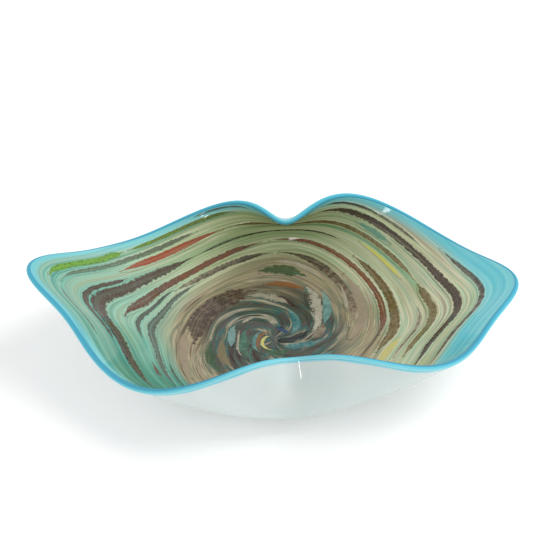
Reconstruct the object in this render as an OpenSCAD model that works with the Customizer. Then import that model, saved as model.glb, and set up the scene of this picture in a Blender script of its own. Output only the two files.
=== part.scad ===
// Art glass bowl: a round cased blank, swirled with coloured canes, then pulled out at two
// tips and pinched in at the two long sides. Everything is laid out on the flat round blank
// as an angle and a reach (0 at the centre, 1 at the rim), and the same shaping slumps it all.

/* [Blank] */
// Radius of the flat round blank, from centre to rim
blank_r = 187; // [184:1:190]
// Height that an untouched rim would stand above the floor of the bowl
blank_h = 118; // [114:1:122]
// Part of the reach that stays flat as the floor of the bowl
floor_part = 0.3; // [0.26:0.01:0.32]

/* [Wall's curve] */
// How steeply an untouched wall ends at the rim, in degrees
rim_lean = 30; // [24:1:36]
// How far the floor's curve carries on before an untouched wall turns up
belly_out = 52; // [46:1:56]
// How far the rim's lean is held down into the wall
lean_hold = 42; // [36:1:46]

/* [Tips] */
// Half the width of a tip, as an angle seen from the centre
tip_spread = 8; // [6:1:12]
// How far the left tip is pulled outward
left_tip_out = 30; // [24:1:34]
// How far the left tip is pulled upward
left_tip_up = 10; // [4:1:14]
// How far the right tip is pulled outward
right_tip_out = 20; // [14:1:26]

/* [Pinched sides] */
// Where the back is squeezed, as an angle from the right tip
back_at = 83; // [80:1:90]
// Where the front is squeezed, as an angle from the right tip
front_at = 80; // [78:1:90]
// Half the width of a squeezed side, as an angle seen from the centre
side_spread = 25; // [22:1:28]
// How far the two long sides are squeezed in at the rim
squeeze_in = 66; // [62:1:74]
// How far the squeezed sides sink
squeeze_down = 20; // [14:1:24]
// Half the width of the narrow crease in the middle of each side, as an angle
crease_spread = 10; // [8:1:12]
// How much further in the crease goes
crease_in = 15; // [10:1:18]
// How far the crease sinks
crease_down = 22; // [16:1:26]
// How far both sides are rolled over inward at the rim, in degrees
side_roll = 88; // [70:1:92]
// How far the back crease is rolled over beyond that, in degrees
crease_roll = 45; // [20:1:50]
// How much further the back's belly swells under the crease
back_belly = 40; // [30:1:46]
// How much further the front's belly swells under the crease
front_belly = 22; // [16:1:34]

/* [Shoulders] */
// Where the left shoulders droop, as an angle each way from the left tip
left_shoulder_at = 42; // [36:1:48]
// Half the width of a left shoulder, as an angle
left_shoulder_spread = 28; // [24:1:32]
// How far the left shoulders are drawn in
left_shoulder_in = 23; // [16:1:28]
// How far the left shoulders droop
left_droop = 74; // [68:1:78]
// Where the right shoulders droop, as an angle each way from the right tip
right_shoulder_at = 30; // [24:1:36]
// Half the width of a right shoulder, as an angle
right_shoulder_spread = 23; // [20:1:28]
// How far the right shoulders are drawn in
right_shoulder_in = 5; // [0:1:10]
// How far the right shoulders droop
right_droop = 62; // [56:1:68]

/* [Swirl] */
// Reach that a cane in the wall gains in one turn
wall_turn = 0.35; // [0.25:0.05:0.45]
// The same on the floor, where the twist is looser
floor_turn = 0.6; // [0.5:0.05:0.7]
// The same for the arms that curl out of the centre
heart_turn = 1.1; // [0.9:0.1:1.3]
// The same for the rings round the centre
ring_turn = 0.1; // [0.05:0.05:0.2]
// Reach by which the squeeze drives the swirl outward at the back
back_lead = 0.1; // [0.06:0.01:0.12]
// Reach by which the swirl cuts the corner at the left tip
left_lag = 0.06; // [0.03:0.01:0.08]
// Reach by which the swirl cuts the corner at the right tip
right_lag = 0.08; // [0.04:0.01:0.1]

/* [Wall] */
// Thickness of the white casing outside
casing_t = 3; // [2:0.5:4]
// Thickness of the aqua gather inside
gather_t = 2; // [1.5:0.5:3]
// Thickness of the canes on the inside
cane_t = 0.5; // [0.4:0.1:0.8]

/* [Foot] */
// Radius of the ground and polished pad under the bowl
pad_r = 46; // [40:1:52]
// Thickness of the pad
pad_h = 1.2; // [0.8:0.1:2]
// Bevel ground on the pad's edge
pad_bevel = 0.5; // [0.2:0.1:0.6]

/* [Detail] */
// Steps round the rim
round_steps = 90; // [72:6:108]
// Steps from the floor's centre to the rim
wall_steps = 11; // [9:1:13]
// Turn along a cane between two of its cross-sections, in degrees
cane_step = 5; // [4:1:8]

/* [Hidden] */

wall_t = casing_t + gather_t;
mid_z = pad_h + wall_t / 2;          // height of the wall's middle over the floor
top_d = wall_t / 2;                  // depth of the inner face, counted up from the middle
seam_d = top_d - gather_t;           // where the gather meets the casing
probe_a = 0.02;                      // steps for slopes, in degrees and in reach
probe_t = 0.001;
lip_rise = 0.7071;                   // half-round lip, from its 45 degree points

// Each pull of the tools on the hot rim:
// [angle, spread in degrees, rim out, rim up, roll in degrees, belly out], lengths in mm
PULLS = [
    [180, tip_spread, left_tip_out, left_tip_up, 0, 0],
    [0, tip_spread, right_tip_out, 0, 0, 0],
    [back_at, crease_spread, -crease_in, -crease_down, crease_roll, 0],
    [-front_at, crease_spread, -crease_in, -crease_down, 0, 0],
    [back_at, side_spread, -squeeze_in, -squeeze_down, side_roll, back_belly],
    [-front_at, side_spread, -squeeze_in, -squeeze_down, side_roll, front_belly],
    for (side = [1, -1])
        [side * (180 - left_shoulder_at), left_shoulder_spread, -left_shoulder_in, -left_droop, 0, 0],
    for (side = [1, -1])
        [side * right_shoulder_at, right_shoulder_spread, -right_shoulder_in, -right_droop, 0, 0]
];

// What the squeeze does to the swirl: [angle, spread in degrees, reach gained]
SWIRL = [
    [back_at, 60, back_lead],
    [180, 20, -left_lag],
    [-20, 25, -right_lag]
];

// Canes on the swirl: [from angle, to angle, lane, width, turn]. The lanes are rings on the blank,
// mostly 0.05 or 0.1 apart, and a cane crosses the back at 90 degrees with its lane as its reach.
LIME = [
    [180, 150, 0.95, 7, wall_turn],
    [148, 105, 0.95, 3.5, wall_turn]
];
SMOKE = [
    [180, 120, 0.9, 5, wall_turn],
    [182, 200, 0.9, 2, wall_turn],
    [120, 100, 0.98, 2, wall_turn],
    [300, 250, 0.85, 3.5, wall_turn]
];
SCARLET = [
    [160, 110, 0.85, 7.5, wall_turn],
    [310, 265, 0.7, 4, wall_turn]
];
COCOA = [
    [125, 225, 0.75, 11, wall_turn],
    [160, 200, 0.8, 4.5, wall_turn],
    [75, -30, 0.95, 6.5, wall_turn],
    [230, 285, 0.75, 6, wall_turn],
    [-40, -60, 0.85, 4, wall_turn]
];
RUST = [
    [180, 95, 0.65, 9, wall_turn],
    [92, 0, 0.65, 5.5, wall_turn],
    [250, 205, 0.6, 5, wall_turn]
];
OLIVE = [
    [55, -15, 0.7, 7.5, wall_turn],
    [108, 25, 0.85, 5, wall_turn],
    [22, -20, 0.85, 6, wall_turn],
    [-30, -75, 0.8, 5, wall_turn]
];
PLUM = [
    [145, 90, 0.55, 8, floor_turn],
    [88, 15, 0.55, 7.5, floor_turn],
    [185, 100, 0.35, 18, wall_turn],
    [170, 220, 0.4, 7, wall_turn],
    [30, 5, 0.4, 8, floor_turn],
    [55, 0, 0.6, 9, floor_turn],
    [28, -30, 1.05, 4.5, wall_turn],
    [10, -20, 0.8, 2.5, wall_turn],
    [305, 255, 0.45, 6, wall_turn],
    [230, 260, 0.35, 9, wall_turn]
];
THREADS = [
    [125, 60, 0.75, 2.5, wall_turn],
    [145, 190, 0.6, 3.5, wall_turn],
    [130, 225, 0.55, 5.5, wall_turn],
    [70, 35, 1, 2.5, wall_turn],
    [250, 300, 0.65, 2, wall_turn],
    [240, 205, 0.5, 2, wall_turn]
];
LEMON = [
    [55, 30, 0.8, 3, wall_turn],
    [110, 270, 0.03, 3, ring_turn],
    [-5, -25, 0.75, 7, wall_turn],
    [290, 250, 0.35, 3, wall_turn]
];
EMERALD = [
    [98, 72, 0.45, 9, wall_turn],
    [178, 228, 0.35, 7, ring_turn],
    [145, 238, 0.15, 8, ring_turn],
    [230, 320, 0.05, 7, ring_turn],
    [212, 240, 0.6, 8, wall_turn],
    [58, 43, 0.9, 6, wall_turn],
    [285, 240, 0.3, 5, wall_turn]
];
TEAL = [
    [60, 28, 0.5, 6.5, heart_turn],
    [77, 30, 0.3, 7, heart_turn],
    [-45, 5, 0.6, 7, heart_turn],
    [145, 195, 0.22, 7, ring_turn],
    [125, 240, 0.08, 3.5, ring_turn],
    [-50, -15, 0.75, 5, heart_turn]
];
LACE = [
    [70, 22, 0.45, 8, heart_turn],
    [55, 33, 0.6, 3.5, heart_turn],
    [138, 116, 0.2, 3, ring_turn],
    [90, 62, 0.5, 2.5, floor_turn],
    [112, 74, 0.32, 4.5, floor_turn],
    [150, 222, 0.18, 2.5, ring_turn]
];
AMBER = [
    [97, 68, 0.38, 4.5, ring_turn],
    [97, 245, 0.06, 3.5, ring_turn],
    [178, 230, 0.28, 8, ring_turn]
];
HEART = [
    [-10, 25, 0.42, 8, heart_turn],
    [84, 38, 0.1, 4.5, ring_turn]
];

// Weight of a pull, 1 at its own angle and 0 well away from it
function pull_weight(off, spread) = exp((cos(off) - 1) / pow(spread * PI / 180, 2));

// Part of a cubic curve with end values p and s and handle values q and r
function blend(u, p, q, r, s) =
    pow(1 - u, 3) * p + 3 * u * pow(1 - u, 2) * q + 3 * u * u * (1 - u) * r + pow(u, 3) * s;

// A point in the middle of the wall: the flat floor, then one cubic curve up to the rim
function wall_point(a, t) =
    let (s = max(0, (t - floor_part) / (1 - floor_part)),
         pull = [for (p = PULLS) pull_weight(a - p[0], p[1])] * PULLS,
         rim = [blank_r + pull[2], blank_h + pull[3]],
         lean = rim_lean + pull[4],
         foot = blank_r * floor_part,
         belly = foot + belly_out + pull[5],
         hold = rim - lean_hold * [cos(lean), sin(lean)],
         r = s > 0 ? blend(s, foot, belly, hold[0], rim[0]) : blank_r * t,
         z = s > 0 ? blend(s, 0, 0, hold[1], rim[1]) : 0)
    [r * cos(a), r * sin(a), z + mid_z];

// The way through the wall, towards the inside of the bowl
function wall_up(a, t) =
    t < probe_t ? [0, 0, 1]
    : let (out = wall_point(a, t + probe_t) - wall_point(a, t - probe_t),
           along = wall_point(a + probe_a, t) - wall_point(a - probe_a, t),
           n = cross(out, along))
      n / norm(n);

// A point of the blank, slumped to its place at depth d
function slumped(a, t, d) = wall_point(a, t) + d * wall_up(a, t);

function on_blank(a, t) = blank_r * t * [cos(a), sin(a)];

// How far the squeeze leads the swirl at an angle
function swirl_lead(a) = [for (w = SWIRL) w[2] * pull_weight(a - w[0], w[1])] * [1, 1, 1];

// The reach of a lane at an angle. The squeeze hardly moves the lanes at the centre.
function swirl_reach(a, lane, turn) =
    max(0.02, lane + turn * (a - 90) / 360
              + (swirl_lead(a) - swirl_lead(90)) * min(1, 2 * lane));

// A cane's centre line on the flat blank
function cane_line(c, u) =
    let (a = c[0] + (c[1] - c[0]) * u)
    on_blank(a, swirl_reach(a, c[2], c[4]));

// Half the width of a cane, drawn out thin at both ends
function cane_half(c, u) = c[3] / 2 * min(1, max(0.3, sqrt(6 * min(u, 1 - u))));

// A cane's edge at depth d: side is 1 on its left and -1 on its right
function cane_edge(c, u, side, d) =
    let (ahead = cane_line(c, u + 0.01) - cane_line(c, u - 0.01),
         across = [-ahead[1], ahead[0]] / norm(ahead),
         p = cane_line(c, u) + side * cane_half(c, u) * across)
    slumped(atan2(p[1], p[0]), norm(p) / blank_r, d);

// Two triangles between stations i and j of section points k and l
function strip(k, l, i, j) = [[l + i, l + j, k + j], [l + i, k + j, k + i]];

// A layer of the bowl's wall between two depths
module shell(low, high) {
    n = round_steps;
    last = (wall_steps - 1) * n;
    under = wall_steps * n;
    tip = 2 * under;
    reaches = [for (j = [1 : wall_steps]) 1 - pow(1 - j / wall_steps, 1.25)];
    face = [for (d = [high, low]) each
            [for (t = reaches) for (i = [0 : n - 1]) slumped(i * 360 / n, t, d)]];
    centres = [slumped(0, 0, high), slumped(0, 0, low)];
    next = [for (i = [0 : n - 1]) (i + 1) % n];
    inside = [for (j = [0 : wall_steps - 2]) for (i = [0 : n - 1]) each
              strip((j + 1) * n, j * n, i, next[i])];
    outside = [for (f = inside) [f[0] + under, f[2] + under, f[1] + under]];
    rim = [for (i = [0 : n - 1]) each strip(last + under, last, i, next[i])];
    hubs = [for (i = [0 : n - 1]) each
            [[tip, next[i], i], [tip + 1, under + i, under + next[i]]]];
    polyhedron(concat(face, centres), concat(inside, outside, rim, hubs));
}

// The half-round bead that closes the wall along the rim
module lip() {
    n = round_steps;
    h = wall_t / 2;
    half_round = [[0, -h], [h * lip_rise, -h * lip_rise], [h, 0], [h * lip_rise, h * lip_rise], [0, h]];
    points = [for (s = half_round) for (i = [0 : n - 1])
              slumped(i * 360 / n, 1 + s[0] / blank_r, s[1])];
    count = len(half_round);
    faces = [for (k = [0 : count - 1]) for (i = [0 : n - 1]) each
             strip(k * n, (k + 1) % count * n, i, (i + 1) % n)];
    polyhedron(points, faces);
}

// One flattened cane, lying on the inner face
module cane(c) {
    steps = max(6, ceil(abs(c[1] - c[0]) / cane_step));
    n = steps + 1;
    low = top_d;
    high = top_d + cane_t;
    section = [[1, low], [-1, low], [-1, high], [1, high]];
    points = [for (s = section) for (i = [0 : steps]) cane_edge(c, i / steps, s[0], s[1])];
    sides = [for (k = [0 : 3]) for (i = [0 : steps - 1]) each
             strip(k * n, (k + 1) % 4 * n, i, i + 1)];
    start = [[3 * n, 2 * n, n], [3 * n, n, 0]];
    end = [[steps, n + steps, 2 * n + steps], [steps, 2 * n + steps, 3 * n + steps]];
    polyhedron(points, concat(sides, start, end));
}

module canes(rows) {
    for (c = rows) cane(c);
}

module opal_casing() { color("ghostwhite") shell(-top_d, seam_d); }
module aqua_gather() { color("mediumaquamarine") shell(seam_d, top_d); }
module rim_lip() { color("mediumturquoise") lip(); }
module lime_cane() { color("yellowgreen") canes(LIME); }
module smoke_canes() { color("dimgray") canes(SMOKE); }
module scarlet_cane() { color("orangered") canes(SCARLET); }
module cocoa_canes() { color([0.33, 0.25, 0.21]) canes(COCOA); }
module rust_canes() { color("sienna") canes(RUST); }
module olive_canes() { color("darkolivegreen") canes(OLIVE); }
module plum_bands() { color([0.42, 0.33, 0.35]) canes(PLUM); }
module dark_threads() { color([0.2, 0.17, 0.15]) canes(THREADS); }
module lemon_canes() { color("khaki") canes(LEMON); }
module emerald_smears() { color("seagreen") canes(EMERALD); }
module teal_arms() { color("cadetblue") canes(TEAL); }
module cream_lace() { color("antiquewhite") canes(LACE); }
module amber_arcs() { color("peru") canes(AMBER); }
module midnight_heart() { color("midnightblue") canes(HEART); }

// The pad left by the punty, ground flat and polished, with a fine bevel
module punty_pad() {
    color("aliceblue")
    rotate_extrude($fn = 96)
    polygon([[0, 0], [pad_r - pad_bevel, 0], [pad_r, pad_bevel], [pad_r, pad_h], [0, pad_h]]);
}

opal_casing();
aqua_gather();
rim_lip();
punty_pad();
lime_cane();
smoke_canes();
scarlet_cane();
cocoa_canes();
rust_canes();
olive_canes();
plum_bands();
dark_threads();
lemon_canes();
emerald_smears();
teal_arms();
cream_lace();
amber_arcs();
midnight_heart();
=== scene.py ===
"""An art glass bowl: a white cased gather with a swirl of coloured canes inside and an aqua lip,
pulled out at two tips and pinched in at both sides. Metres, +X to the right tip, +Z up."""
import math

import bmesh
import bpy
import numpy as np
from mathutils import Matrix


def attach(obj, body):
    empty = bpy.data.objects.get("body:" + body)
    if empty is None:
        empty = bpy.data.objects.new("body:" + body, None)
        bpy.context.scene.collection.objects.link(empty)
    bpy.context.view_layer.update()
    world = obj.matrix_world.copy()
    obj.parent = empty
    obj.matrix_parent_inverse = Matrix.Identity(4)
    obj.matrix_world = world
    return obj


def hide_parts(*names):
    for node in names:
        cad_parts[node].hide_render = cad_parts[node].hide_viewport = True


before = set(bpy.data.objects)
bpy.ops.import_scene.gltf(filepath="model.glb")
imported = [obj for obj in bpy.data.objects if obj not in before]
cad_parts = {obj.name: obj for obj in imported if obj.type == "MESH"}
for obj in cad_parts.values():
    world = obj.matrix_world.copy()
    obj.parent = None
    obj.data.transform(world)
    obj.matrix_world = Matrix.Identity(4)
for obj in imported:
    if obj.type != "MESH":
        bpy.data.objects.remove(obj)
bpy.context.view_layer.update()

# --- Opal casing -----------------------------------------------------------------------------
# The white outer layer of the bowl. A gather of aqua glass was rolled in white enamel powder and
# blown, so the white is opaque, fire polished and thinnest where it runs out under the lip.
WALL = 0.005                       # both layers together
MIDDLE = 0.0012 + WALL / 2         # height of the wall's middle over the floor, on its pad
BLANK = 0.187                      # radius of the flat blank
RIM_HEIGHT = 0.118                 # height of an untouched rim over the floor of the bowl
RIM_LEAN = 30                      # how steeply an untouched wall ends at the rim, in degrees
BELLY_OUT = 0.052                  # how far the floor's curve carries on before the wall turns up
LEAN_HOLD = 0.042                  # how far the rim's lean is held down into the wall
FLAT = 0.3                         # share of the reach that stays the bowl's flat floor
BACK, FRONT = 83, -80              # angles at which the long sides are squeezed
PULLS = np.array([                 # angle, spread, rim out, rim up, roll in degrees, belly out
    [180, 8, 30, 10, 0, 0],        # left tip
    [0, 8, 20, 0, 0, 0],           # right tip
    [BACK, 10, -15, -22, 45, 0],   # creases
    [FRONT, 10, -15, -22, 0, 0],
    [BACK, 25, -66, -20, 88, 40],  # squeezed sides
    [FRONT, 25, -66, -20, 88, 22],
    [138, 28, -23, -74, 0, 0],     # left shoulders
    [-138, 28, -23, -74, 0, 0],
    [30, 23, -5, -62, 0, 0],       # right shoulders
    [-30, 23, -5, -62, 0, 0],
])


def wall_points(angle, reach):
    """Points in the middle of the wall: the flat floor, then one cubic curve up to the rim."""
    spread = np.radians(PULLS[:, 1])
    weight = np.exp((np.cos(angle[:, None] - np.radians(PULLS[:, 0])) - 1) / spread**2)
    out, up, roll, belly = (weight @ PULLS[:, 2:]).T
    lean = np.radians(RIM_LEAN + roll)
    rim_r, rim_z = BLANK + out / 1000, RIM_HEIGHT + up / 1000
    foot = BLANK * FLAT
    s = np.clip((reach - FLAT) / (1 - FLAT), 0, None)
    b0, b1, b2, b3 = (1 - s)**3, 3 * s * (1 - s)**2, 3 * s**2 * (1 - s), s**3
    r = b0 * foot + b1 * (foot + BELLY_OUT + belly / 1000)
    r += b2 * (rim_r - LEAN_HOLD * np.cos(lean)) + b3 * rim_r
    r = np.where(s > 0, r, BLANK * reach)
    z = b2 * (rim_z - LEAN_HOLD * np.sin(lean)) + b3 * rim_z
    return np.stack([r * np.cos(angle), r * np.sin(angle), z + MIDDLE], 1)


def slump(bm):
    """Moves vertices from the flat blank (x and y in reach, z the depth) to the slumped bowl."""
    flat = np.array([v.co for v in bm.verts])
    angle, reach = np.arctan2(flat[:, 1], flat[:, 0]), np.hypot(flat[:, 0], flat[:, 1])
    safe = np.maximum(reach, 0.01)
    out = wall_points(angle, safe + 0.001) - wall_points(angle, safe - 0.001)
    along = wall_points(angle + 0.001, safe) - wall_points(angle - 0.001, safe)
    way_in = np.cross(out, along)
    way_in /= np.linalg.norm(way_in, axis=1)[:, None]
    placed = wall_points(angle, reach) + flat[:, 2:] * way_in
    for v, place in zip(bm.verts, placed):
        v.co = place


def note_plan(bm):
    """Keeps each vertex's place on the blank, as direction and reach, for the glass to read."""
    plan = bm.verts.layers.float_vector.new("plan")
    for v in bm.verts:
        reach = math.hypot(v.co.x, v.co.y)
        v[plan] = (v.co.x / max(reach, 1e-6), v.co.y / max(reach, 1e-6), reach)


def spin_blank(section, steps):
    """A closed section of (reach, depth) points spun once round the blank."""
    bm = bmesh.new()
    verts = [bm.verts.new((r, 0, d)) for r, d in section]
    edges = [bm.edges.new(pair) for pair in zip(verts, verts[1:])]
    if section[0][0] > 0:
        edges.append(bm.edges.new((verts[-1], verts[0])))
    bmesh.ops.spin(bm, geom=verts + edges, cent=(0, 0, 0), axis=(0, 0, 1), angle=math.tau,
                   steps=steps, use_merge=True)
    bmesh.ops.remove_doubles(bm, verts=bm.verts, dist=1e-6)
    return bm


def finish_piece(bm, name, body_node, glass):
    """Slumps the flat piece, turns its faces outward and makes the object."""
    note_plan(bm)
    slump(bm)
    bmesh.ops.recalc_face_normals(bm, faces=bm.faces)
    mesh = bpy.data.meshes.new(name)
    bm.to_mesh(mesh)
    bm.free()
    mesh.shade_smooth()
    mesh.materials.append(glass)
    piece = bpy.data.objects.new(name, mesh)
    bpy.context.scene.collection.objects.link(piece)
    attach(piece, "root")
    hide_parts(body_node)
    return piece


def tint(code):
    """A colour such as "8fd0c0" as the shader's linear values."""
    parts = [int(code[i:i + 2], 16) / 255 for i in (0, 2, 4)]
    return tuple(c / 12.92 if c < 0.04045 else ((c + 0.055) / 1.055)**2.4 for c in parts) + (1,)


def node(tree, kind, *given, **settings):
    """Adds a shader node, with its inputs linked or set in order."""
    made = tree.nodes.new("ShaderNode" + kind)
    for key, value in settings.items():
        setattr(made, key, value)
    for socket, value in zip(made.inputs, given):
        if isinstance(value, bpy.types.NodeSocket):
            tree.links.new(value, socket)
        elif value is not None:
            socket.default_value = value
    return made


def calc(tree, operation, *given):
    return node(tree, "Math", *given, operation=operation).outputs[0]


def mix(tree, share, a, b):
    """Colour a turning into colour b."""
    return node(tree, "Mix", share, None, None, None, None, None, a, b,
                data_type="RGBA").outputs[2]


def ease(tree, value, low, high, start=0, end=1):
    """Runs smoothly from start to end as value goes from low to high."""
    return node(tree, "MapRange", value, low, high, start, end,
                interpolation_type="SMOOTHSTEP").outputs[0]


def noise(tree, where, scale, detail=2, roughness=0.5):
    return node(tree, "TexNoise", where, None, scale, detail, roughness).outputs[0]


def new_glass(name, roughness=0.06):
    """Opaque glass, fire polished. Returns the material, its tree and its shader."""
    glass = bpy.data.materials.new(name)
    glass.use_nodes = True
    tree = glass.node_tree
    shader = next(n for n in tree.nodes if n.type == "BSDF_PRINCIPLED")
    shader.inputs["Roughness"].default_value = roughness
    shader.inputs["IOR"].default_value = 1.5
    shader.inputs["Specular IOR Level"].default_value = 0.4
    return glass, tree, shader


def read_plan(tree):
    """The direction and the reach kept on the vertices."""
    plan = tree.nodes.new("ShaderNodeAttribute")
    plan.attribute_name = "plan"
    return plan.outputs["Vector"], node(tree, "SeparateXYZ", plan.outputs["Vector"]).outputs[2]


opal, tree, shader = new_glass("opal_white_glass")
direction, reach = read_plan(tree)
place = node(tree, "TexCoord").outputs["Object"]
cloud = noise(tree, place, 9, 3)
white = mix(tree, ease(tree, cloud, 0.35, 0.7), tint("d6e0de"), tint("c8d4d1"))
wander = calc(tree, "MULTIPLY_ADD", noise(tree, place, 40), 0.012, reach)
rim_glow = ease(tree, wander, 0.988, 1.006)
tree.links.new(mix(tree, rim_glow, white, tint("5cc6da")), shader.inputs["Base Color"])

SHELL_STEPS = 288
reaches = [1 - (1 - i / 96)**1.25 for i in range(97)]
outside = spin_blank([(r, 0.0005) for r in reaches] + [(r, -WALL / 2) for r in reversed(reaches)],
                     SHELL_STEPS)
finish_piece(outside, "opal_casing_glass", "opal_casing", opal)

# --- Aqua gather -----------------------------------------------------------------------------
# The inner layer, aqua glass streaked with colour powders. The powders and the canes were laid on
# the hot gather and twisted, so every streak runs as one long spiral round the bowl.
WALL_TURN = 0.35                   # reach that a streak in the wall gains in one turn
SWIRL = [(BACK, 60, 0.1), (180, 20, -0.06), (-20, 25, -0.08)]  # angle, spread, reach gained


def near(tree, direction, angle, spread):
    """1 at an angle of the blank and 0 well away from it."""
    toward = (math.cos(math.radians(angle)), math.sin(math.radians(angle)), 0)
    facing = node(tree, "VectorMath", direction, toward, operation="DOT_PRODUCT").outputs["Value"]
    s2 = math.radians(spread)**2
    return calc(tree, "EXPONENT", calc(tree, "MULTIPLY_ADD", facing, 1 / s2, -1 / s2))


def swirl(tree, direction, reach):
    """How far the streaks lead the plain spiral at each angle, and the streak's own phase."""
    lead = 0.12
    for angle, spread, amount in SWIRL:
        lead = calc(tree, "MULTIPLY_ADD", near(tree, direction, angle, spread), amount, lead)
    xyz = node(tree, "SeparateXYZ", direction)
    theta = calc(tree, "ARCTAN2", xyz.outputs[1], xyz.outputs[0])
    slack = calc(tree, "DIVIDE", reach, calc(tree, "ADD", reach, 0.2))
    wound = calc(tree, "MULTIPLY", calc(tree, "SUBTRACT", reach, lead), slack)
    return lead, calc(tree, "MULTIPLY_ADD", wound, math.tau / WALL_TURN, calc(tree, "MULTIPLY", theta, -1))


def streaks(tree, direction, reach, phase, across, along, stretch, detail=3):
    """Noise drawn out along the streaks. across sets how fine they are."""
    ring = node(tree, "CombineXYZ", calc(tree, "COSINE", phase), calc(tree, "SINE", phase),
                calc(tree, "MULTIPLY", reach, stretch / across)).outputs[0]
    wide = node(tree, "VectorMath", ring, (across, across, across), operation="MULTIPLY")
    drift = node(tree, "VectorMath", direction, (along, along, 0), operation="MULTIPLY")
    where = node(tree, "VectorMath", wide.outputs[0], drift.outputs[0], operation="ADD")
    return noise(tree, where.outputs[0], 1, detail, 0.55)


def ramp(tree, value, *stops):
    """Colour stops, each a place from 0 to 1 and a colour."""
    made = node(tree, "ValToRGB", value)
    band = made.color_ramp
    while len(band.elements) < len(stops):
        band.elements.new(0.5)
    for element, (place, colour) in zip(band.elements, stops):
        element.position, element.color = place, tint(colour)
    return made.outputs[0]


ground = bpy.data.node_groups.new("streaked_ground", "ShaderNodeTree")
ground.interface.new_socket("Colour", in_out="OUTPUT", socket_type="NodeSocketColor")
ground.interface.new_socket("Hair", in_out="OUTPUT", socket_type="NodeSocketFloat")
direction, reach = read_plan(ground)
lead, phase = swirl(ground, direction, reach)
broad = streaks(ground, direction, reach, phase, 1.7, 0.5, 2.0)
other = streaks(ground, direction, reach, phase, 2.6, 0.9, 5.0)
hair = streaks(ground, direction, reach, phase, 9, 0.8, 12)

right = ramp(ground, broad, (0.3, "9cc49a"), (0.4, "bcc496"), (0.47, "d6d0ae"), (0.53, "aac8a2"),
             (0.6, "dcd8b8"), (0.7, "b0a686"))
left = ramp(ground, broad, (0.3, "5fae9f"), (0.45, "86c6b2"), (0.55, "a3cfb8"), (0.7, "a9bf9c"))
back = ramp(ground, broad, (0.3, "7c9c6a"), (0.4, "b0c08a"), (0.5, "d6d8ac"), (0.57, "9cb078"),
            (0.64, "e0e0b8"), (0.74, "958e60"))
teal = ramp(ground, other, (0.3, "1c6a5e"), (0.45, "358a7a"), (0.6, "55a894"), (0.72, "78baa6"))
outer = mix(ground, near(ground, direction, 185, 42), right, left)
outer = mix(ground, near(ground, direction, 98, 30), outer, back)
outer = mix(ground, near(ground, direction, 230, 26), outer, teal)

ring = calc(ground, "MULTIPLY_ADD", lead, -0.5, calc(ground, "ADD", reach, 0.06))
ring = calc(ground, "MULTIPLY_ADD", calc(ground, "SUBTRACT", broad, 0.5), 0.14, ring)
middle = ramp(ground, other, (0.3, "5d5443"), (0.38, "8d8062"), (0.46, "b5a684"), (0.53, "85866a"),
              (0.6, "b8a98a"), (0.68, "75604e"), (0.76, "9c9c80"))
inner = mix(ground, ease(ground, ring, 0.44, 0.54), middle, outer)
heart = ramp(ground, other, (0.28, "1e211c"), (0.37, "4a3b38"), (0.43, "3f5244"), (0.48, "5c4c46"),
             (0.53, "2c6660"), (0.58, "6e6a54"), (0.64, "b0aa94"), (0.72, "3c322e"))
inner = mix(ground, ease(ground, ring, 0.27, 0.38), heart, inner)
shade = ease(ground, hair, 0.32, 0.72, 0.78, 1.14)
inner = node(ground, "VectorMath", inner, shade, operation="MULTIPLY")
ground.links.new(shade, inner.inputs[1])

edge = 0.955
for angle, spread, amount in [(-40, 30, -0.15), (0, 15, -0.05)]:
    edge = calc(ground, "MULTIPLY_ADD", near(ground, direction, angle, spread), amount, edge)
band = calc(ground, "SUBTRACT", calc(ground, "MULTIPLY_ADD", other, 0.04, reach), edge)
cyan = ramp(ground, other, (0.3, "62c8d6"), (0.5, "78d4de"), (0.7, "92dedf"))
painted = mix(ground, ease(ground, band, 0.0, 0.07), inner.outputs[0], cyan)
front = near(ground, direction, FRONT, 35)
line = calc(ground, "MULTIPLY", ease(ground, reach, 0.985, 0.998, 0, 0.8), front)
painted = mix(ground, line, painted, tint("1f7298"))
out = ground.nodes.new("NodeGroupOutput")
ground.links.new(painted, out.inputs[0])
ground.links.new(hair, out.inputs[1])

aqua, tree, shader = new_glass("aqua_glass")
under = node(tree, "Group", node_tree=ground)
tree.links.new(under.outputs[0], shader.inputs["Base Color"])
inside = spin_blank([(r, WALL / 2) for r in reaches] + [(r, 0.0005) for r in reversed(reaches)],
                    SHELL_STEPS)
finish_piece(inside, "aqua_gather_glass", "aqua_gather", aqua)

# --- Rim lip ---------------------------------------------------------------------------------
# The half-round bead of the lip, where the cut edge was melted round in the furnace. The aqua shows
# its full strength here, with a deep blue line along the inner side and white glass outside.
lip_glass, tree, shader = new_glass("turquoise_lip_glass", 0.04)
through = tree.nodes.new("ShaderNodeAttribute")
through.attribute_name = "through"
place = node(tree, "TexCoord").outputs["Object"]
wobble = calc(tree, "MULTIPLY_ADD", calc(tree, "SUBTRACT", noise(tree, place, 30), 0.5), 0.1,
              through.outputs["Fac"])
bead = ramp(tree, wobble, (0.0, "8fdbe4"), (0.3, "66cce0"), (0.8, "4fbcd6"), (0.97, "48aac6"))
direction, reach = read_plan(tree)
deep = calc(tree, "MULTIPLY", ease(tree, wobble, 0.4, 0.62), near(tree, direction, FRONT, 35))
tree.links.new(mix(tree, deep, bead, tint("1f6f98")), shader.inputs["Base Color"])
half_round = [(1 + WALL / 2 / BLANK * math.sin(math.pi * i / 12), WALL / 2 * math.cos(math.pi * i / 12))
              for i in range(13)]
lip = spin_blank(half_round, SHELL_STEPS)
layer = lip.verts.layers.float.new("through")
for v in lip.verts:
    v[layer] = v.co.z / WALL + 0.5
finish_piece(lip, "rim_lip_glass", "rim_lip", lip_glass)

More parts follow.
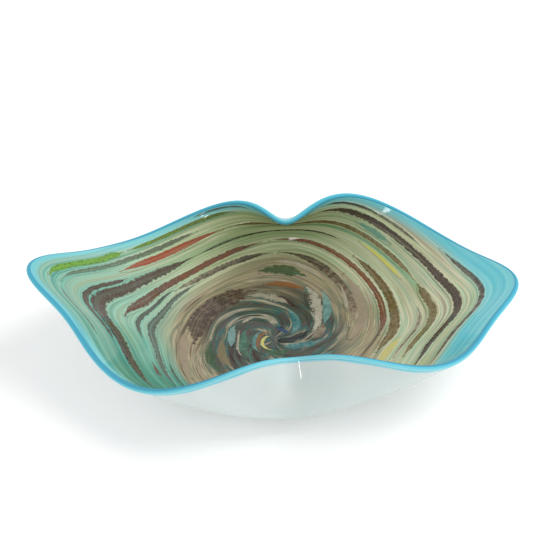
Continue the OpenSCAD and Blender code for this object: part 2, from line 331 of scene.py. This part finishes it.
# --- Punty pad -------------------------------------------------------------------------------
# The ground pad under the bowl, where the punty was cracked off. Clear-edged white glass, cut flat
# on a wheel and polished, with fine circular grinding marks.
pad_glass, tree, shader = new_glass("ground_pad_glass", 0.2)
place = node(tree, "TexCoord").outputs["Object"]
rings = node(tree, "TexWave", place, 900, 1.5, 2, wave_type="RINGS", rings_direction="Z")
tree.links.new(mix(tree, rings.outputs[1], tint("d5e2e0"), tint("e4edec")),
               shader.inputs["Base Color"])
tree.links.new(ease(tree, rings.outputs[1], 0, 1, 0.16, 0.3), shader.inputs["Roughness"])
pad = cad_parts["punty_pad"]
pad.data.materials.clear()
pad.data.materials.append(pad_glass)

# --- Lime cane -------------------------------------------------------------------------------
# A cane of lime green glass laid along the left of the rim, flecked with dark grit, drawn out into
# an olive thread towards the back. Like all the canes, it is melted in almost flush.
WIDER = 1.7                        # each strip is this much wider than the cane that shows on it
PROUD, CROWN = 0.00012, 0.00010    # a cane's height over the wall at its edges, and its crown
SUNK = 0.0004                      # depth to which a cane is melted in
FLOOR_TURN, HEART_TURN, RING_TURN = 0.6, 1.1, 0.1  # the floor's twist, the arms' and the rings'


def swirl_reach(angle, lane, turn):
    """The reach of a lane at an angle. The lane is its reach where it crosses the back."""
    def lead(at):
        return sum(gain * math.exp((math.cos(math.radians(at - middle)) - 1)
                                   / math.radians(spread)**2) for middle, spread, gain in SWIRL)
    squeezed = (lead(angle) - lead(90)) * min(1, 2 * lane)
    return max(0.02, lane + turn * (angle - 90) / 360 + squeezed)


def lay_canes(rows):
    """Flat strips on the blank. Each row is the angles a cane runs between, its lane, its width
    in mm, its turn, and its tone at both ends, which mixes its two colours."""
    bm = bmesh.new()
    cane = bm.verts.layers.float_vector.new("cane")
    for a0, a1, lane, width, turn, tone_from, tone_to in rows:
        def line(u):
            angle = a0 + (a1 - a0) * u
            way = math.radians(angle)
            return swirl_reach(angle, lane, turn) * np.array([math.cos(way), math.sin(way)])
        length = max(10, int(abs(a1 - a0) / 1.5))
        grid = bmesh.ops.create_grid(bm, x_segments=length, y_segments=8, size=1)["verts"]
        for v in grid:
            u, side = (v.co.x + 1) / 2, v.co.y
            ahead = line(u + 0.01) - line(u - 0.01)
            ahead /= np.linalg.norm(ahead)
            thin = min(1, max(0.3, math.sqrt(6 * max(min(u, 1 - u), 0))))
            half = width / 2000 / BLANK * WIDER * thin
            x, y = line(u) + side * half * np.array([-ahead[1], ahead[0]])
            v.co = (x, y, WALL / 2 + PROUD + CROWN * (1 - side * side))
            v[cane] = (u, side, tone_from + (tone_to - tone_from) * u)
        top = list({f for v in grid for f in v.link_faces})
        made = bmesh.ops.extrude_face_region(bm, geom=top, use_keep_orig=True)
        for v in made["geom"]:
            if isinstance(v, bmesh.types.BMVert):
                v.co.z = WALL / 2 - SUNK
    return bm


def cane_glass(name, one, two, fleck="2a2420", flecks=0.0, ragged=0.35, solid=1.0, ends=0.12):
    """Cane glass that melts into the streaked ground along ragged edges, flecked with grit."""
    glass, tree, shader = new_glass(name)
    under = node(tree, "Group", node_tree=ground)
    data = tree.nodes.new("ShaderNodeAttribute")
    data.attribute_name = "cane"
    along, side, tone = node(tree, "SeparateXYZ", data.outputs["Vector"]).outputs
    place = node(tree, "TexCoord").outputs["Object"]
    coarse, grit = noise(tree, place, 230, 3, 0.65), noise(tree, place, 820, 2, 0.6)
    tail = calc(tree, "MINIMUM", along, calc(tree, "SUBTRACT", 1, along))
    worn = calc(tree, "MULTIPLY_ADD", calc(tree, "SUBTRACT", coarse, 0.5), ragged * 1.6,
                calc(tree, "ABSOLUTE", side))
    worn = calc(tree, "MULTIPLY_ADD", calc(tree, "SUBTRACT", grit, 0.5), ragged * 1.1, worn)
    worn = calc(tree, "ADD", worn, ease(tree, tail, 0, ends, 0.45, 0))
    blend = calc(tree, "MULTIPLY_ADD", calc(tree, "SUBTRACT", coarse, 0.5), 1.6, tone)
    colour = mix(tree, ease(tree, blend, 0, 1), tint(one), tint(two))
    colour = mix(tree, ease(tree, under.outputs[1], 0.5, 0.75, 0, 0.4), colour, under.outputs[0])
    dark = ease(tree, calc(tree, "MULTIPLY_ADD", worn, 0.25, grit), 0.74 - 0.22 * flecks,
                0.80 - 0.22 * flecks, 0, min(1, flecks * 2.5))
    colour = mix(tree, dark, colour, tint(fleck))
    shows = ease(tree, worn, 0.5, 0.66, solid, 0)
    tree.links.new(mix(tree, shows, under.outputs[0], colour), shader.inputs["Base Color"])
    return glass


finish_piece(lay_canes([
    (180, 150, 0.95, 7, WALL_TURN, 0, 0.3),
    (148, 105, 0.95, 3.5, WALL_TURN, 0.5, 1),
]), "lime_cane_glass", "lime_cane", cane_glass("lime_glass", "74aa34", "727d40", "3f4a22", 0.5))

# --- Smoke canes -----------------------------------------------------------------------------
# Grey-brown canes with a grit of dark powder that broke up as it stretched, so they run ragged.
finish_piece(lay_canes([
    (180, 120, 0.9, 5, WALL_TURN, 0.2, 0.6),
    (182, 200, 0.9, 2, WALL_TURN, 0.8, 0.8),
    (120, 100, 0.98, 2, WALL_TURN, 0.8, 0.8),
    (300, 250, 0.85, 3.5, WALL_TURN, 0.5, 0.5),
]), "smoke_canes_glass", "smoke_canes",
    cane_glass("smoke_glass", "6a755c", "56564a", "33342c", 0.5, 0.6, 0.9))

# --- Scarlet cane ----------------------------------------------------------------------------
# One cane of opaque red-orange glass, the brightest colour in the bowl, widest at its middle.
finish_piece(lay_canes([
    (160, 110, 0.85, 7.5, WALL_TURN, 0, 0.3),
    (310, 265, 0.7, 4, WALL_TURN, 0.5, 0.5),
]), "scarlet_cane_glass", "scarlet_cane",
    cane_glass("scarlet_glass", "a23a16", "7d3c20", "5c2010", 0.3, 0.25, 0.95, 0.35))

# --- Cocoa canes -----------------------------------------------------------------------------
# Dark brown canes of goldstone-like glass, full of tiny coppery flakes, with torn edges.
finish_piece(lay_canes([
    (125, 225, 0.75, 11, WALL_TURN, 0.2, 0.7),
    (160, 200, 0.8, 4.5, WALL_TURN, 0.4, 0.5),
    (75, -30, 0.95, 6.5, WALL_TURN, 0, 0.3),
    (230, 285, 0.75, 6, WALL_TURN, 0.4, 0.4),
    (-40, -60, 0.85, 4, WALL_TURN, 0.3, 0.3),
]), "cocoa_canes_glass", "cocoa_canes",
    cane_glass("cocoa_glass", "56493a", "6c6058", "2f2720", 0.5, 0.5))

# --- Rust canes ------------------------------------------------------------------------------
# Rust-brown canes with orange-red grit, running round the middle of the wall.
finish_piece(lay_canes([
    (180, 95, 0.65, 9, WALL_TURN, 0.9, 0.3),
    (92, 0, 0.65, 5.5, WALL_TURN, 0, 0.5),
    (250, 205, 0.6, 5, WALL_TURN, 0.8, 0.8),
]), "rust_canes_glass", "rust_canes",
    cane_glass("rust_glass", "85502a", "70564a", "3c2a1c", 0.5, 0.4))

# --- Olive canes -----------------------------------------------------------------------------
# Olive-brown canes, speckled with gold and dark grit.
finish_piece(lay_canes([
    (55, -15, 0.7, 7.5, WALL_TURN, 0.3, 0.5),
    (108, 25, 0.85, 5, WALL_TURN, 0, 0.9),
    (22, -20, 0.85, 6, WALL_TURN, 0.5, 0.8),
    (-30, -75, 0.8, 5, WALL_TURN, 0.5, 0.5),
]), "olive_canes_glass", "olive_canes",
    cane_glass("olive_glass", "6d5326", "8b8058", "4a4226", 0.45, 0.4))

# --- Plum bands ------------------------------------------------------------------------------
# Broad soft bands of mauve and plum, the widest of them sweeping round the left of the centre.
finish_piece(lay_canes([
    (145, 90, 0.55, 8, FLOOR_TURN, 0.6, 0),
    (88, 15, 0.55, 7.5, FLOOR_TURN, 0, 0.8),
    (185, 100, 0.35, 18, WALL_TURN, 0.1, 0.2),
    (170, 220, 0.4, 7, WALL_TURN, 0.9, 0.9),
    (30, 5, 0.4, 8, FLOOR_TURN, 0.6, 0.6),
    (55, 0, 0.6, 9, FLOOR_TURN, 1, 1),
    (28, -30, 1.05, 4.5, WALL_TURN, 0.2, 0.4),
    (10, -20, 0.8, 2.5, WALL_TURN, 0.6, 0.6),
    (305, 255, 0.45, 6, WALL_TURN, 0.5, 0.5),
    (230, 260, 0.35, 9, WALL_TURN, 0.5, 0.5),
]), "plum_bands_glass", "plum_bands",
    cane_glass("plum_glass", "3c2620", "a09078", "4a4038", 0.15, 0.35, 0.9, 0.3))

# --- Dark threads ----------------------------------------------------------------------------
# Thin stringers of near-black glass that broke into dots as the bowl was spun out.
finish_piece(lay_canes([
    (125, 60, 0.75, 2.5, WALL_TURN, 0.3, 0.3),
    (145, 190, 0.6, 3.5, WALL_TURN, 1, 1),
    (130, 225, 0.55, 5.5, WALL_TURN, 0.9, 0.9),
    (70, 35, 1, 2.5, WALL_TURN, 0.2, 0.2),
    (250, 300, 0.65, 2, WALL_TURN, 0.5, 0.5),
    (240, 205, 0.5, 2, WALL_TURN, 0.5, 0.5),
]), "dark_threads_glass", "dark_threads",
    cane_glass("charcoal_glass", "3f392c", "5c665a", "2a2a22", 0.3, 0.6))

# --- Lemon canes -----------------------------------------------------------------------------
# Short thin canes of clear yellow glass.
finish_piece(lay_canes([
    (55, 30, 0.8, 3, WALL_TURN, 0.1, 0.1),
    (110, 270, 0.03, 3, RING_TURN, 0.7, 0.7),
    (-5, -25, 0.75, 7, WALL_TURN, 0.8, 0.8),
    (290, 250, 0.35, 3, WALL_TURN, 0.5, 0.5),
]), "lemon_canes_glass", "lemon_canes",
    cane_glass("lemon_glass", "d8d24e", "c9bf78", "8c8a40", 0.05, 0.2, 0.95, 0.35))

# --- Emerald smears --------------------------------------------------------------------------
# Smears of green powder, soft-edged, near the centre and under the back wall.
finish_piece(lay_canes([
    (98, 72, 0.45, 9, WALL_TURN, 0.1, 0.1),
    (178, 228, 0.35, 7, RING_TURN, 0, 0.2),
    (145, 238, 0.15, 8, RING_TURN, 0.4, 0.4),
    (230, 320, 0.05, 7, RING_TURN, 0.2, 0.2),
    (212, 240, 0.6, 8, WALL_TURN, 1, 1),
    (58, 43, 0.9, 6, WALL_TURN, 0.9, 0.9),
    (285, 240, 0.3, 5, WALL_TURN, 0.5, 0.5),
]), "emerald_smears_glass", "emerald_smears",
    cane_glass("emerald_glass", "2f4f2c", "5f9a84", "23301f", 0.15, 0.45, 0.85, 0.4))

# --- Teal arms -------------------------------------------------------------------------------
# Arms of teal and pale turquoise glass that curl out of the centre.
finish_piece(lay_canes([
    (60, 28, 0.5, 6.5, HEART_TURN, 0.6, 0.6),
    (77, 30, 0.3, 7, HEART_TURN, 0.3, 0.3),
    (-45, 5, 0.6, 7, HEART_TURN, 0.3, 0.3),
    (145, 195, 0.22, 7, RING_TURN, 0.7, 0.7),
    (125, 240, 0.08, 3.5, RING_TURN, 0.5, 0.5),
    (-50, -15, 0.75, 5, HEART_TURN, 0.3, 0.3),
]), "teal_arms_glass", "teal_arms",
    cane_glass("teal_glass", "2f6f72", "86aaa0", "1f4a54", 0.1, 0.45, 0.85, 0.35))

# --- Cream lace ------------------------------------------------------------------------------
# Torn flakes of cream glass, drawn into lace between the arms.
finish_piece(lay_canes([
    (70, 22, 0.45, 8, HEART_TURN, 0.3, 0.3),
    (55, 33, 0.6, 3.5, HEART_TURN, 0.5, 0.5),
    (138, 116, 0.2, 3, RING_TURN, 0.5, 0.5),
    (90, 62, 0.5, 2.5, FLOOR_TURN, 0.4, 0.4),
    (112, 74, 0.32, 4.5, FLOOR_TURN, 0.8, 0.8),
    (150, 222, 0.18, 2.5, RING_TURN, 0.6, 0.6),
]), "cream_lace_glass", "cream_lace",
    cane_glass("cream_glass", "bdb7a4", "a09a84", "6f665a", 0.25, 0.9, 0.85, 0.35))

# --- Amber arcs ------------------------------------------------------------------------------
# Arcs of amber glass round the centre.
finish_piece(lay_canes([
    (97, 68, 0.38, 4.5, RING_TURN, 0.2, 0.2),
    (97, 245, 0.06, 3.5, RING_TURN, 0.3, 0.3),
    (178, 230, 0.28, 8, RING_TURN, 0.9, 0.9),
]), "amber_arcs_glass", "amber_arcs",
    cane_glass("amber_glass", "8a5226", "7f7452", "5a3016", 0.15, 0.35, 0.9, 0.4))

# --- Midnight heart --------------------------------------------------------------------------
# The blue-black streak at the centre of the swirl, the last end of the twisted gather.
finish_piece(lay_canes([
    (-10, 25, 0.42, 8, HEART_TURN, 0.1, 0.1),
    (84, 38, 0.1, 4.5, RING_TURN, 1, 1),
]), "midnight_heart_glass", "midnight_heart",
             cane_glass("midnight_glass", "121a18", "24405e", "3a1820", 0.1, 0.25, 1, 0.25))

# --- Floor, light and camera -----------------------------------------------------------------
# A plain pale table top in a white studio, lit softly from the right and behind.
bm = bmesh.new()
bmesh.ops.create_grid(bm, x_segments=1, y_segments=1, size=6)
mesh = bpy.data.meshes.new("floor")
bm.to_mesh(mesh)
bm.free()
floor = bpy.data.objects.new("floor", mesh)
bpy.context.scene.collection.objects.link(floor)
paper = bpy.data.materials.new("white_table")
paper.use_nodes = True
shader = next(n for n in paper.node_tree.nodes if n.type == "BSDF_PRINCIPLED")
shader.inputs["Base Color"].default_value = (0.93, 0.93, 0.93, 1)
shader.inputs["Roughness"].default_value = 0.9
shader.inputs["Specular IOR Level"].default_value = 0.1
shader.inputs["Emission Color"].default_value = (1, 1, 1, 1)
shader.inputs["Emission Strength"].default_value = 0.22
mesh.materials.append(paper)

world = bpy.data.worlds.new("studio")
world.use_nodes = True
sky = next(n for n in world.node_tree.nodes if n.type == "BACKGROUND")
sky.inputs["Color"].default_value = (1, 1, 1, 1)
sky.inputs["Strength"].default_value = 0.68
bpy.context.scene.world = world


def softbox(name, place, aim, size, power):
    """A square studio light at place, turned towards aim."""
    light = bpy.data.lights.new(name, "AREA")
    light.size, light.energy = size, power
    lamp = bpy.data.objects.new(name, light)
    bpy.context.scene.collection.objects.link(lamp)
    lamp.location = place
    way = np.array(aim) - np.array(place)
    lamp.rotation_euler = (math.atan2(math.hypot(way[0], way[1]), -way[2]), 0,
                           math.atan2(way[1], way[0]) - math.pi / 2)
    return lamp


softbox("key", (1.1, 0.25, 1.5), (0, 0, 0), 1.2, 16).visible_glossy = False
softbox("front", (-0.2, -1.35, 0.35), (0, 0, 0.05), 0.16, 1.0)

camera = bpy.data.objects.new("camera", bpy.data.cameras.new("camera"))
bpy.context.scene.collection.objects.link(camera)
camera.location = (0, -0.998, 0.752)
camera.rotation_euler = (math.radians(55.8), 0, math.radians(-0.08))
camera.data.lens = 95.5
bpy.context.scene.camera = camera
bpy.context.scene.view_settings.view_transform = "Standard"
